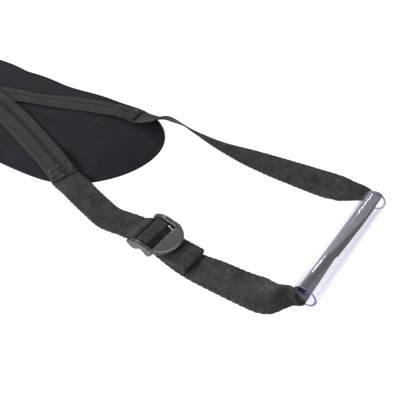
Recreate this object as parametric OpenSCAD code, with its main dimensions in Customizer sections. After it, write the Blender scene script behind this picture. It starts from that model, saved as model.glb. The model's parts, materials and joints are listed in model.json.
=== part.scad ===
// Padded strap sling: a contoured pad, two crossed elastic bands, and at each end an adjustable
// webbing loop with a ladder-lock buckle and a clear grip tube.
// +X runs along the pad, +Y across it, +Z up. The origin is the middle of the pad's flat underside.
// The left loop mirrors the right one.

/* [Pad] */
// Length of the pad from tip to tip
pad_len = 630; // [600:5:660]
// Width of the pad
pad_w = 194; // [188:2:204]
// Length of each rounded end
end_len = 110; // [100:2:120]
// How far the ends sweep towards +Y from the middle
sweep = 27; // [20:1:30]
// Height of the sewn rim
rim_h = 4; // [3.6:0.2:5]
// Rise of the foam above the rim
crown_h = 11; // [8:1:13]
// Thickness of each cover fabric
cover_t = 1; // [0.8:0.1:1.2]

/* [Straps] */
// Width of the webbing
webbing_w = 37; // [36:0.5:38]
// Thickness of the webbing
webbing_t = 1.8; // [1.4:0.1:1.8]
// Width of the elastic
elastic_w = 36; // [34:0.5:37]
// Thickness of the elastic
elastic_t = 1.6; // [1.2:0.1:1.6]

/* [Grip] */
// Outside diameter of the grip tube
tube_od = 27; // [26:0.5:28]
// Wall of the grip tube
tube_wall = 2.5; // [2:0.1:2.5]
// Length of the grip tube
tube_len = 172; // [160:1:175]
// Turn of the tube away from square to the loop, in degrees
tube_skew = 6.8; // [4:0.2:8]

/* [Buckle] */
// Width of the buckle
buckle_w = 52; // [51:0.5:54]
// Turn of the buckle with the strap, in degrees
buckle_yaw = 6; // [4:0.5:8]

/* [Hidden] */

cover_colour = [0.13, 0.135, 0.15];
foam_colour = [0.35, 0.35, 0.36];
webbing_colour = [0.2, 0.2, 0.2];
elastic_colour = [0.3, 0.3, 0.3];
thread_colour = [0.42, 0.42, 0.42];
buckle_colour = [0.33, 0.32, 0.33];
tube_colour = [0.86, 0.86, 0.96, 0.4];

tip_x = pad_len / 2;
spine_x = tip_x - end_len;
half_w = pad_w / 2;
rim_share = 0.94;       // the rim is flat outside this share of the half width
edge_wave = 1.6;        // how much the +Y edge waves
waist = 3;              // how much narrower the -Y side is in the middle
end_push = 2.5;         // how much the round ends lean towards +Y
gap = 0.1;              // clearance between parts that lie on each other
thread_t = 0.5;         // how far sewing thread stands proud
thread_w = 0.9;

// ---- pad surface ----
function ramp(v, from, to) =
    let (k = min(max((v - from) / (to - from), 0), 1))
    k * k * (3 - 2 * k);
function centre_y(x) = sweep * pow(x / tip_x, 2);
// half width on the +Y side (side 1) and on the -Y side (side -1): the fabric edge waves a little
wave_top = 155;         // where that wave has a crest, and how long it is
wave_len = 115;
function half_at(x, side) =
    let (d = abs(x))
    side > 0
        ? half_w + edge_wave * cos(360 * (d - wave_top) / wave_len) * (1 - ramp(d, 215, 250))
        : half_w - waist * (1 - ramp(d, 95, 195));
// how far the end's round is pushed out at a height v across it, from -1 to 1
function push(v) = end_push * sin(120 * (v - 0.15));
push_reach = 60;        // the push builds up over this much of the end
function share_out(x, y) =
    let (
        up = y - centre_y(x),
        v = up / half_at(x, up),
        out = abs(x) - spine_x
    )
    norm([max(out - push(v) * ramp(out, 0, push_reach), 0) / end_len, v]);
function pad_top(x, y) = rim_h + crown_h * max(0, 1 - pow(share_out(x, y) / rim_share, 2));

// one ring of the pad, at a share of its half width and a height
side_steps = 14;
end_steps = 18;
function end_point(x_sign, a, share, inset) =
    let (
        v = sin(a),
        k = end_len * share * cos(a),
        out = k + push(v * share) * ramp(k, 0, push_reach) * share,
        x = spine_x + out - inset * cos(a)
    )
    [x_sign * x, centre_y(x) + (half_at(x, v) * share - inset) * v];
function side_point(x, side, share, inset) =
    [x, centre_y(x) + side * (half_at(x, side) * share - inset)];
function ring_xy(share, inset = 0) = [
    for (i = [0 : side_steps - 1]) side_point(spine_x * (2 * i / side_steps - 1), 1, share, inset),
    for (i = [0 : end_steps]) end_point(1, 90 - 180 * i / end_steps, share, inset),
    for (i = [1 : side_steps - 1]) side_point(spine_x * (1 - 2 * i / side_steps), -1, share, inset),
    for (i = [0 : end_steps - 1]) end_point(-1, -90 + 180 * i / end_steps, share, inset)];
function at_height(xy, z) = [for (p = xy) [p[0], p[1], z]];
function crown_z(share) = rim_h + crown_h * max(0, 1 - pow(share / rim_share, 2));
shares = [0.08, 0.25, 0.42, 0.57, 0.7, 0.81, 0.89, 0.94];

// closed solid through rings of equal count, capped at both ends
module loft(rings) {
    n = len(rings[0]);
    side = [for (r = [0 : len(rings) - 2]) for (i = [0 : n - 1])
        let (
            a = r * n + i,
            b = r * n + (i + 1) % n,
            c = a + n,
            d = b + n
        )
        each [[a, b, d], [a, d, c]]];
    last = (len(rings) - 1) * n;
    first_cap = [for (i = [n - 1 : -1 : 0]) i];
    last_cap = [for (i = [0 : n - 1]) last + i];
    polyhedron(points = [for (r = rings) each r], faces = concat([first_cap], side, [last_cap]));
}

// ---- swept webbing ----
function bend(p0, p1, p2, p3, t) = 0.5 * (2 * p1 + (p2 - p0) * t
    + (2 * p0 - 5 * p1 + 4 * p2 - p3) * t * t + (3 * p1 - p0 - 3 * p2 + p3) * t * t * t);
// a smooth run of rows through the route's rows, n rows to each step
function row_at(rows, i) = rows[min(max(i, 0), len(rows) - 1)];
function smooth(route, n) = concat(
    [for (i = [0 : len(route) - 2]) for (k = [0 : n - 1])
        bend(row_at(route, i - 1), route[i], route[i + 1], row_at(route, i + 2), k / n)],
    [route[len(route) - 1]]);
function place(row) = [row[0], row[1], row[2]];
function travel(rows, i) = place(row_at(rows, i + 1)) - place(row_at(rows, i - 1));
// a route row is [x, y, z, tilt, curl, heading], angles in degrees: tilt raises the left edge, curl
// rolls both edges up and heading is the way the section faces in plan
function heading(rows, i) =
    let (t = travel(rows, i))
    len(rows[i]) > 5 ? rows[i][5] : atan2(t[1], t[0]);
// rows given without a heading face along the route
function with_heading(rows) = [for (i = [0 : len(rows) - 1])
    [rows[i][0], rows[i][1], rows[i][2], rows[i][3], rows[i][4], heading(rows, i)]];
function climb(rows, i) =
    let (t = travel(rows, i))
    asin(t[2] / norm(t));
// a station is [point, direction across, surface normal, curl]
function stations(rows) = [for (i = [0 : len(rows) - 1])
    let (
        plan = heading(rows, i),
        up = climb(rows, i),
        a = rows[i][3],
        h = [-sin(plan), cos(plan), 0],
        n = [-sin(up) * cos(plan), -sin(up) * sin(plan), cos(up)]
    )
    [place(rows[i]), h * cos(a) + n * sin(a), n * cos(a) - h * sin(a), rows[i][4]]];
// point of a station's section, s across from the middle and h above the mid surface
function section(st, w, s, h) =
    let (
        turn = st[3] * s / w,
        flat = abs(st[3]) < 1,
        r = flat ? 0 : w / (st[3] * PI / 180),
        along = flat ? s : r * sin(turn),
        up = flat ? 0 : r * (1 - cos(turn))
    )
    st[0] + st[1] * (along - h * sin(turn)) + st[2] * (up + h * cos(turn));
// closed ribbon through stations, of width w and thickness t, with m points to each half width
module ribbon(sts, w, t, m = 3) {
    loft([for (st = sts) concat(
        [for (q = [-m : m]) section(st, w, w / 2 * q / m, t / 2)],
        [for (q = [m : -1 : -m]) section(st, w, w / 2 * q / m, -t / 2)])]);
}

module right_and_left(is_left) {
    if (is_left) mirror([1, 0, 0]) children();
    else children();
}

// ---- pad ----
module top_cover() {
    under = 0.985;      // the inner skin is drawn in by this share
    outer = ring_xy(1);
    inner = ring_xy(1, cover_t);
    color(cover_colour) loft(concat(
        [for (s = shares) at_height(ring_xy(s), crown_z(s))],
        [at_height(outer, rim_h), at_height(outer, cover_t + gap)],
        [at_height(inner, cover_t + gap), at_height(inner, rim_h - cover_t)],
        [for (i = [len(shares) - 1 : -1 : 0])
            at_height(ring_xy(shares[i] * under), crown_z(shares[i]) - cover_t)]));
}

module pad_core() {
    under = 0.98;       // the foam is drawn in by this share, to lie inside the cover
    edge = ring_xy(1, cover_t + 2 * gap);
    color(foam_colour) loft(concat(
        [for (s = shares) at_height(ring_xy(s * under), crown_z(s) - cover_t - 2 * gap)],
        [at_height(edge, rim_h - cover_t - gap), at_height(edge, cover_t + gap)]));
}

module bottom_cover() {
    color(cover_colour) linear_extrude(cover_t) polygon(ring_xy(1));
}

module edge_stitching() {
    seam_share = 0.972;
    color(thread_colour) translate([0, 0, rim_h + gap / 2]) linear_extrude(thread_t) difference() {
        polygon(ring_xy(seam_share));
        polygon(ring_xy(seam_share, thread_w));
    }
}

// ---- elastic bands ----
lap_x = tip_x - 82;               // middle of the sewn lap between elastic and webbing
lap_len = 26;
near_lap_y = -65;
far_lap_y = 82;
cross_step = elastic_t + 0.5;     // how far the upper band climbs over the lower
lap_step = webbing_t + gap;       // how far a band climbs onto the webbing's end
lie = 1.6;                        // clearance of a band over the pad
band_bow = 5;                     // how much a band bows over the pad, in degrees
band_reach = lap_x + lap_len / 2;
// middle line of a band's half, from the crossing to its lap: end point, start slope and end slope
function band_y(x, end_y, start_slope, end_slope) =
    let (k = x / band_reach)
    end_y * (3 * k * k - 2 * k * k * k)
        + start_slope * band_reach * k * (1 - k) * (1 - k)
        - end_slope * band_reach * k * k * (1 - k);
function near_y(x) = band_y(x, near_lap_y - 5, -0.2, -0.42);
function far_y(x) = band_y(x, far_lap_y + 2, 0.42, 0.16);
// slope of the pad across it under a strap, in degrees
function slope_at(x, y) =
    let (e = 12)
    atan((pad_top(x, y + e) - pad_top(x, y - e)) / (2 * e));
// lowest height at which the middle of a strap with that slope and bow clears the pad
function seat(x, y) =
    let (
        half = elastic_w / 2,
        rise = tan(slope_at(x, y)),
        drop = elastic_w * band_bow * PI / 180 / 8
    )
    max([for (k = [-3 : 3]) pad_top(x, y + half * k / 3) - half * k / 3 * rise + drop * k * k / 9]);
function band_row(x, y, over) =
    let (
        crossing = over * cross_step * (1 - ramp(abs(x), 55, 90)),
        lapping = lap_step * ramp(abs(x), lap_x - 38, lap_x - 17)
    )
    [x, y, seat(x, y) + elastic_t / 2 + lie + crossing + lapping, slope_at(x, y), -band_bow];
band_steps = 40;
function band(over) = [for (i = [0 : band_steps])
    let (x = band_reach * (2 * i / band_steps - 1))
    band_row(x, x > 0 ? near_y(x) : far_y(-x), over)];

module elastic_over() {
    color(elastic_colour) ribbon(stations(band(1)), elastic_w, elastic_t);
}

module elastic_under() {
    color(elastic_colour) mirror([1, 0, 0]) ribbon(stations(band(0)), elastic_w, elastic_t);
}

// sewn box with a cross in it, flat, centred on the origin
module sewn_box(l, w) {
    linear_extrude(thread_t) {
        difference() {
            square([l, w], center = true);
            square([l - 2 * thread_w, w - 2 * thread_w], center = true);
        }
        for (a = [-1, 1]) rotate(a * atan(w / l))
            square([norm([l, w]) - 2.5 * thread_w, thread_w], center = true);
    }
}

module centre_stitching() {
    top = band_row(0, 0, 1)[2] + elastic_t / 2;
    color(thread_colour) translate([0, 0, top + 0.3]) sewn_box(20, 14);
}

// ---- right-hand loop ----
hinge_x = tip_x - 31;             // where both arms of the loop bend over the pad's edge
bar_x = tip_x + 68;               // fixed bar of the buckle
bar_y = -86;
bar_z = 7.6;
bar_r = 2.2;
grip_x = tip_x + 271.8;           // middle of the grip tube
grip_y = 9.5;
grip_z = tube_od / 2;
tube_r = tube_od / 2;
curl_r = tube_r - tube_wall - webbing_t / 2 - 0.5;      // radius the webbing rolls to inside the tube
full_curl = webbing_w / curl_r * 180 / PI;

// a point on the tube's axis, d along it from the middle
function on_tube(d) = [grip_x + d * sin(tube_skew), grip_y + d * cos(tube_skew)];
// a route row for the webbing rolled inside the tube
function in_tube(d, turn) =
    let (at = on_tube(d) + [-cos(tube_skew), sin(tube_skew)] * curl_r * sin(turn))
    [at[0], at[1], grip_z - curl_r * cos(turn), turn, full_curl, 90 - tube_skew];
near_turn = 90;                   // how far the roll has turned at the near mouth and at the far one
far_turn = 125;
far_ease = 16;                    // how far it turns back again at the far mouth
function roll_turn(k) = near_turn + (far_turn - near_turn) * (k + 1) / 2 - far_ease * ramp(k, 0.4, 1);
outside = 4;                      // how far the rolled webbing stands out of each mouth
mouth = tube_len / 2;

// near webbing between the lap and the buckle's bar, then round the bar and back under itself
function strap_z(x, y) = seat(x, y) + 0.8 + webbing_t / 2;
// a route row lying on the pad, tilted and bowed as the elastic above it is
function pad_row(x, y, rise = 0) = [x, y, strap_z(x, y) + rise, slope_at(x, y), -band_bow];
strap_route = [
    pad_row(lap_x - lap_len / 2, near_lap_y + 4),
    pad_row(lap_x, near_lap_y),
    pad_row(lap_x + 14, near_lap_y - 5),
    [hinge_x - 19, near_lap_y - 8.5, 6.6, 6, 0],
    [hinge_x, near_lap_y - 13.5, 4.6, 2, 0],
    [hinge_x + 25, near_lap_y - 19.8, 3.2, 0, 0],
    [bar_x - 50, bar_y - 4, 2.8, 0, 0],
    [bar_x - 30, bar_y - 2.6, 3.3, 0, 0]];
function buckle_point(u, z) = [bar_x + u * cos(buckle_yaw), bar_y - u * sin(buckle_yaw), z];
buckle_across = [sin(buckle_yaw), cos(buckle_yaw), 0];
buckle_along = [cos(buckle_yaw), -sin(buckle_yaw), 0];
// station in the buckle's own plane, with its surface normal at angle a from +Z towards the grip
function buckle_station(u, z, a, aside = 0) = [
    buckle_point(u, z) + buckle_across * aside,
    buckle_across,
    buckle_along * sin(a) + [0, 0, 1] * cos(a),
    0];
loop_r = bar_r + 2 * gap + webbing_t / 2;
function strap_stations() = concat(
    stations(smooth(strap_route, 4)),
    [buckle_station(-18, 3.9, -3, -2.6), buckle_station(-11.5, 4.8, -16, -2)],
    [buckle_station(-7.5, 7.1, -42, -1)],
    [for (a = [-48 : 12 : 192]) buckle_station(loop_r * sin(a), bar_z + loop_r * cos(a), a)],
    [buckle_station(-8, 3, 172, -1), buckle_station(-16, 1.9, 176, -2.3)],
    [buckle_station(-28, 1.1, 179, -2.6)]);

module buckle_strap(is_left) {
    color(webbing_colour) right_and_left(is_left)
        ribbon(strap_stations(), webbing_w, webbing_t, m = 4);
}

module strap_stitching(is_left) {
    color(thread_colour) right_and_left(is_left)
        translate(buckle_point(-24, 4.9)) rotate([0, 0, -buckle_yaw]) for (u = [-3, 3])
            translate([u, 0, 0]) linear_extrude(thread_t)
                square([thread_w, webbing_w - 6], center = true);
}

// the sewn box that holds a band's end on the webbing, turned in plan by an angle
module lap_box(y, slope_y, turn) {
    top = strap_z(lap_x, slope_y) + webbing_t / 2 + elastic_t + 1.4;
    translate([lap_x, y, top]) rotate([slope_at(lap_x, slope_y), 3, turn])
        sewn_box(lap_len - 6, elastic_w - 8);
}
module lap_stitching(is_left) {
    color(thread_colour) right_and_left(is_left) {
        lap_box(near_lap_y, near_lap_y, -20);
        lap_box(far_lap_y - 1, far_lap_y, 9);
    }
}

// far webbing, standing on its outer edge beside the pad and turning over to face the grip's mouth
far_route = [
    pad_row(lap_x - lap_len / 2, far_lap_y - 3),
    pad_row(lap_x, far_lap_y),
    pad_row(lap_x + 18, far_lap_y + 3, 0.3),
    [hinge_x - 9, far_lap_y + 8.5, 12.5, -26, 0],
    [hinge_x + 6, far_lap_y + 14, 15.2, -46, 0],
    [hinge_x + 24, far_lap_y + 16, 15.6, -50, 0],
    [hinge_x + 62, far_lap_y + 11, 13.4, -40, 0],
    [hinge_x + 100, far_lap_y + 9, 9.5, -24, 0],
    [hinge_x + 158, far_lap_y + 11.5, 6, 2, 0, 1],
    [grip_x - 58.8, far_lap_y + 11.1, 10.4, 22, -15, 2],
    [grip_x - 37.7, far_lap_y + 11.2, 14.1, 24, -50, -11],
    [grip_x - 25.6, far_lap_y + 10.5, 16.9, 26, -100, -21],
    [grip_x - 15.4, far_lap_y + 11.8, 17.8, 35, -146, -38],
    [grip_x - 8.2, far_lap_y + 12.7, 17.7, 46, -187, -62]];
far_end =
    let (row = in_tube(mouth + outside + gap, roll_turn(1)))
    [row[0], row[1], row[2], 180 - roll_turn(1), -full_curl, row[5] - 180];

module far_webbing(is_left) {
    color(webbing_colour) right_and_left(is_left)
        ribbon(stations(smooth(with_heading(concat(far_route, [far_end])), 4)), webbing_w, webbing_t);
}

// webbing rolled inside the tube, standing a little out of both mouths
module grip_webbing(is_left) {
    reach = mouth + outside;
    color(webbing_colour) right_and_left(is_left)
        ribbon(stations([for (k = [-4 : 4]) in_tube(reach * k / 4, roll_turn(k / 4))]),
            webbing_w, webbing_t, m = 6);
}

module grip_tube(is_left) {
    color(tube_colour) right_and_left(is_left)
        translate([grip_x, grip_y, grip_z]) rotate([0, 0, -tube_skew]) rotate([90, 0, 0])
            difference() {
                cylinder(h = tube_len, r = tube_r, center = true, $fn = 64);
                cylinder(h = tube_len + 2, r = tube_r - tube_wall, center = true, $fn = 64);
            }
}

// near webbing from under the buckle's middle bar to the grip's near mouth
near_route = [
    concat(buckle_point(13.4, 10.4), [0, 0]),
    concat(buckle_point(19, 9), [0, 0]),
    concat(buckle_point(28, 5), [0, 0]),
    concat(buckle_point(42, 1.9), [0, 0]),
    [bar_x + 60, bar_y - 7.5, 1.2, 0, 0],
    [bar_x + 78, bar_y - 9, 1.6, 2, 0],
    [bar_x + 100, bar_y - 9.5, 4.6, 10, 0, 0],
    [bar_x + 140, bar_y - 9, 7.2, 18, 2, 2],
    [grip_x - 47.8, bar_y - 9.2, 11, 36, 28, 8],
    [grip_x - 35.5, bar_y - 4.2, 13.3, 60, 79, 18],
    [grip_x - 27.7, bar_y + 8.4, 13.5, 80, 152, 50],
    in_tube(-mouth - outside - gap, near_turn)];

module near_webbing(is_left) {
    color(webbing_colour) right_and_left(is_left)
        ribbon(stations(smooth(with_heading(near_route), 4)), webbing_w, webbing_t);
}

// ---- buckle, drawn with its fixed bar on the Y axis ----
opening = webbing_w + 4;          // width between the side rails
rail_w = (buckle_w - opening) / 2;
mid_bar = [10.2, 19.5];           // ends of the flat middle bar, along the buckle
mid_z = 13;
mid_r = 1.5;
tab_from = 32;
tab_end = 53;
tab_t = 3;
tab_top = 17;
rim_w = 2.2;                      // the tab's raised rim
rim_rise = 1;
// side outline of a rail: a deep foot round the fixed bar, a waist, and a second foot under the tab
rail_knots = [[-3.5, 9.2], [1, 4.8], [7, 3.6], [12.5, 6.6], [17, 10.4], [21, 10.2], [25.5, 6.2],
    [30, 6.6], [34.5, 11.5], [35, 15.5], [30, 17], [24, 17.2], [18, 17.9], [12, 17.9], [6, 15.9],
    [0, 12.8]];
function closed(knots, n) =
    let (k = len(knots))
    [for (i = [0 : k - 1]) for (j = [0 : n - 1])
        bend(knots[(i + k - 1) % k], knots[i], knots[(i + 1) % k], knots[(i + 2) % k], j / n)];
// lay a side profile, drawn along X and up Y, across the buckle
module across(w, y = 0) {
    translate([0, y + w / 2, 0]) rotate([90, 0, 0]) linear_extrude(w) children();
}
module stadium(r) {
    for (u = mid_bar) translate([u, mid_z]) circle(r, $fn = 32);
    translate([mid_bar[0], mid_z - r]) square([mid_bar[1] - mid_bar[0], 2 * r]);
}
module rail() {
    polygon(closed(rail_knots, 4));
}
module in_buckle_place(is_left) {
    right_and_left(is_left) translate([bar_x, bar_y, 0]) rotate([0, 0, -buckle_yaw]) children();
}

// thumb tab: a plate with a round nose and a raised rim
module tab_plate(inset = 0) {
    nose_r = buckle_w / 2;
    intersection() {
        translate([tab_end - nose_r, 0]) circle(nose_r - inset, $fn = 96);
        translate([tab_from, -buckle_w / 2]) square([buckle_w, buckle_w]);
    }
}

module buckle(is_left) {
    color(buckle_colour) in_buckle_place(is_left) union() {
        for (side = [-1, 1]) across(rail_w, side * (buckle_w - rail_w) / 2) rail();
        translate([0, 0, bar_z]) rotate([90, 0, 0])
            cylinder(h = opening + 2, r = bar_r, center = true, $fn = 32);
        across(opening + 2) stadium(mid_r);
        translate([0, 0, tab_top - tab_t]) linear_extrude(tab_t - rim_rise) tab_plate();
        translate([0, 0, tab_top - tab_t]) linear_extrude(tab_t) difference() {
            tab_plate();
            tab_plate(rim_w);
        }
    }
}

module webbing_wrap(is_left) {
    inner = mid_r + 2 * gap;
    outer = inner + webbing_t;
    color(webbing_colour) in_buckle_place(is_left) across(webbing_w) difference() {
        stadium(outer);
        stadium(inner);
        // open below, from behind the first bar to beyond the tail's start
        translate([mid_bar[0] + 2.6, mid_z - 2 * outer]) square([20, 2 * outer]);
        translate([mid_bar[1], mid_z - 0.2 - 2 * outer]) square([20, 2 * outer]);
    }
}

// tail from the wrap, out under the tab, folded under itself to make the stop
tail_len = 70;
hem_len = 27;
hem_r = 2.5;
tail_top = 7;
tail_lift = 2.2;                  // how much the fold stands higher than the rest
tail_start = mid_bar[1] + mid_r + gap * 2 + webbing_t / 2;
hem_top = tail_top + tail_lift;
// rows of [along, up, angle of the surface from +Z]
tail_path = concat(
    [[tail_start, mid_z - 0.3, 90],
        [tail_start + 0.7, mid_z - 2, 62],
        [tail_start + 3.2, mid_z - 4, 34],
        [tail_start + 9, tail_top + 0.9, 8],
        [tail_start + 18, tail_top, 0],
        [tail_len - 18, tail_top + 0.3, -3],
        [tail_len - 8, tail_top + tail_lift * 0.7, -9],
        [tail_len, hem_top, -3]],
    [for (a = [20 : 20 : 160]) [tail_len + 2 + hem_r * sin(a), hem_top - hem_r + hem_r * cos(a), a]],
    [[tail_len, hem_top - 2 * hem_r, 178],
        [tail_len - 9, tail_top - 2.2, 172],
        [tail_len - 18, tail_top - 1.8, 178],
        [tail_len + 2 - hem_len, tail_top - 2.1, 180]]);
function beside(path, h) = [for (p = path) [p[0] + h * sin(p[2]), p[1] + h * cos(p[2])]];
module tail(is_left) {
    above = beside(tail_path, webbing_t / 2);
    below = beside(tail_path, -webbing_t / 2);
    back = [for (i = [len(below) - 1 : -1 : 0]) below[i]];
    color(webbing_colour) in_buckle_place(is_left) across(webbing_w) polygon(concat(above, back));
}

module tail_stitching(is_left) {
    // two rows near the hem's sewn end, just over the webbing
    middle = buckle_point(tail_len - hem_len / 2, tail_top + 1.35);
    color(thread_colour) right_and_left(is_left) translate(middle) rotate([0, 0, -buckle_yaw])
        for (u = [-8.5, -5.5]) translate([u, 0, 0]) linear_extrude(thread_t)
            square([thread_w, webbing_w - 5], center = true);
}

pad_core();
top_cover();
bottom_cover();
edge_stitching();
elastic_over();
elastic_under();
centre_stitching();
lap_stitching(false);  // lap_stitching_right
buckle_strap(false);  // buckle_strap_right
strap_stitching(false);  // strap_stitching_right
buckle(false);  // buckle_right
webbing_wrap(false);  // webbing_wrap_right
near_webbing(false);  // near_webbing_right
far_webbing(false);  // far_webbing_right
tail(false);  // tail_right
tail_stitching(false);  // tail_stitching_right
grip_webbing(false);  // grip_webbing_right
grip_tube(false);  // grip_tube_right
lap_stitching(true);  // lap_stitching_left
buckle_strap(true);  // buckle_strap_left
strap_stitching(true);  // strap_stitching_left
buckle(true);  // buckle_left
webbing_wrap(true);  // webbing_wrap_left
near_webbing(true);  // near_webbing_left
far_webbing(true);  // far_webbing_left
tail(true);  // tail_left
tail_stitching(true);  // tail_stitching_left
grip_webbing(true);  // grip_webbing_left
grip_tube(true);  // grip_tube_left
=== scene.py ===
"""Looks for the padded strap sling: covers, elastic bands, webbing loops, ladder locks and clear grips."""
import json
import math

import bmesh
import bpy
import numpy as np
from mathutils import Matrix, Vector, noise


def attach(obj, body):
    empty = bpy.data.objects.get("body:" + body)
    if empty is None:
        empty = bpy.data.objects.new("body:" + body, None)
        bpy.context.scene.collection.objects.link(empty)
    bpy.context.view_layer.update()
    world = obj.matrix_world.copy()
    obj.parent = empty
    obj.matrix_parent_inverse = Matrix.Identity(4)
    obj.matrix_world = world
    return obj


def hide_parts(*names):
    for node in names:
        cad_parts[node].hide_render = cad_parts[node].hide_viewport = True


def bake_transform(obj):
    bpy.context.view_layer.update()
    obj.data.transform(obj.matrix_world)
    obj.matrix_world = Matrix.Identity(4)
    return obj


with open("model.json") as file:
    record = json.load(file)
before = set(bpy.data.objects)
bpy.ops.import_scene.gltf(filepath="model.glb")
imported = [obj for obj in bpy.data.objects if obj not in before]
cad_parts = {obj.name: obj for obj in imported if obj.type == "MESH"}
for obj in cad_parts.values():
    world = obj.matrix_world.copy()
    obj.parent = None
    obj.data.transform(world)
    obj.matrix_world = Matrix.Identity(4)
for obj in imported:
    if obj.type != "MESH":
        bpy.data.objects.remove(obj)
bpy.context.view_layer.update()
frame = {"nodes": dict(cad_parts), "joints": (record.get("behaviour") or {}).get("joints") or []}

MM = 0.001
SIDES = {"right": 1, "left": -1}


def joint(name):
    return next(j for j in frame["joints"] if j["name"] == name)


def in_mm(point):
    return np.array(point, float) / MM


# ---- sizes, in millimetres, taken from the frame -------------------------------------------------
tilt_joint = joint("buckle_tilt_right")
bar_x, bar_y, bar_z = in_mm(tilt_joint["pos_m"])
buckle_yaw = math.asin(abs(tilt_joint["axis"][0]))
tip_x = bar_x - 68
end_len = 110
spine_x = tip_x - end_len
sweep = 27
half_w = 97
rim_h = 4
crown_h = 11
rim_share = 0.94
edge_wave = 1.6
waist = 3
end_push = 2.5

webbing_w = 37
webbing_t = 1.8
elastic_w = 36
elastic_t = 1.6
gap = 0.1

bar_r = 2.2
mid_bar = (10.2, 19.5)
mid_z = 13
mid_r = 1.5

spin_joint = joint("grip_spin_right")
grip_x, grip_y, grip_z = in_mm(spin_joint["pos_m"])
grip_dir = np.array(spin_joint["axis"], float)
tube_skew = math.degrees(math.asin(grip_dir[0]))
tube_r = grip_z
tube_wall = 2.5
tube_len = 172
mouth = tube_len / 2
outside = 4
curl_r = tube_r - tube_wall - webbing_t / 2 - 0.5
full_curl = math.degrees(webbing_w / curl_r)

lap_x = tip_x - 82
lap_len = 26
band_bow = 5
near_lap_y = -65
far_lap_y = 82
hinge_x = tip_x - 31


# ---- meshes --------------------------------------------------------------------------------------
def outside_out(mesh):
    """Turns every face of a closed mesh so that it faces outwards."""
    shape = bmesh.new()
    shape.from_mesh(mesh)
    bmesh.ops.recalc_face_normals(shape, faces=shape.faces)
    shape.to_mesh(mesh)
    shape.free()


def make(name, points, faces, material, side=1, uvs=None):
    """A mesh object from points in millimetres. side -1 gives the mirrored copy for the left end."""
    points = np.array(points, float) * MM
    if side < 0:
        points = points * (-1, 1, 1)
    mesh = bpy.data.meshes.new(name)
    mesh.from_pydata([tuple(p) for p in points], [], faces)
    outside_out(mesh)
    mesh.polygons.foreach_set("use_smooth", [True] * len(mesh.polygons))
    if uvs is not None:
        layer = mesh.uv_layers.new(name="strap")
        corner = np.empty(len(mesh.loops), np.int32)
        mesh.loops.foreach_get("vertex_index", corner)
        layer.data.foreach_set("uv", np.array(uvs, np.float32)[corner].ravel())
    mesh.materials.append(material)
    obj = bpy.data.objects.new(name, mesh)
    bpy.context.scene.collection.objects.link(obj)
    return obj


def ring_faces(rings, count, closed=True):
    """Quads between successive rings of count points each."""
    faces = []
    for r in range(rings - 1):
        for i in range(count if closed else count - 1):
            j = (i + 1) % count
            faces.append((r * count + i, r * count + j, (r + 1) * count + j, (r + 1) * count + i))
    return faces


# ---- straps --------------------------------------------------------------------------------------
def climb(rows, i):
    step = rows[min(i + 1, len(rows) - 1)][:3] - rows[max(i - 1, 0)][:3]
    return math.asin(step[2] / np.linalg.norm(step))


def with_heading(rows):
    """Rows of [x, y, z, tilt, curl, heading]; a row with no heading faces along its neighbours."""
    out = []
    for i, row in enumerate(rows):
        before, after = rows[max(i - 1, 0)], rows[min(i + 1, len(rows) - 1)]
        along = math.degrees(math.atan2(after[1] - before[1], after[0] - before[0]))
        out.append(list(row[:5]) + [row[5] if len(row) > 5 else along])
    return np.array(out, float)


def smooth(rows, steps=16):
    """Catmull-Rom through the rows."""
    out = []
    last = len(rows) - 1
    for i in range(last):
        p0, p1, p2, p3 = rows[max(i - 1, 0)], rows[i], rows[i + 1], rows[min(i + 2, last)]
        for k in range(steps):
            t = k / steps
            out.append(0.5 * (2 * p1 + (p2 - p0) * t + (2 * p0 - 5 * p1 + 4 * p2 - p3) * t * t
                              + (3 * p1 - p0 - 3 * p2 + p3) * t ** 3))
    out.append(rows[last])
    return np.array(out)


def stations(rows):
    """Each row becomes place, direction across, surface normal and curl."""
    out = []
    for i, row in enumerate(rows):
        plan, up, tilt = math.radians(row[5]), climb(rows, i), math.radians(row[3])
        left = np.array([-math.sin(plan), math.cos(plan), 0])
        flat = np.array([-math.sin(up) * math.cos(plan), -math.sin(up) * math.sin(plan), math.cos(up)])
        across = left * math.cos(tilt) + flat * math.sin(tilt)
        normal = flat * math.cos(tilt) - left * math.sin(tilt)
        out.append(np.concatenate([row[:3], across, normal, [row[4]]]))
    return np.array(out)


def even(run, step):
    """The run of stations again, a given step apart, and the distance of each along it."""
    gaps = np.linalg.norm(np.diff(run[:, :3], axis=0), axis=1)
    far = np.concatenate([[0], np.cumsum(gaps)])
    count = max(2, int(round(far[-1] / step)) + 1)
    at = np.linspace(0, far[-1], count)
    out = np.stack([np.interp(at, far, run[:, k]) for k in range(run.shape[1])], axis=1)
    for cols in (slice(3, 6), slice(6, 9)):
        out[:, cols] /= np.linalg.norm(out[:, cols], axis=1)[:, None]
    return out, at


def on_strap(station, s, h, width):
    """The point s across from the middle of a station and h above its mid surface."""
    place, across, normal, curl = station[:3], station[3:6], station[6:9], station[9]
    if abs(curl) < 0.5:
        return place + across * s + normal * h
    radius = width / math.radians(curl)
    turn = s / radius
    return (place + across * (radius * math.sin(turn) - h * math.sin(turn))
            + normal * (radius * (1 - math.cos(turn)) + h * math.cos(turn)))


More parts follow.
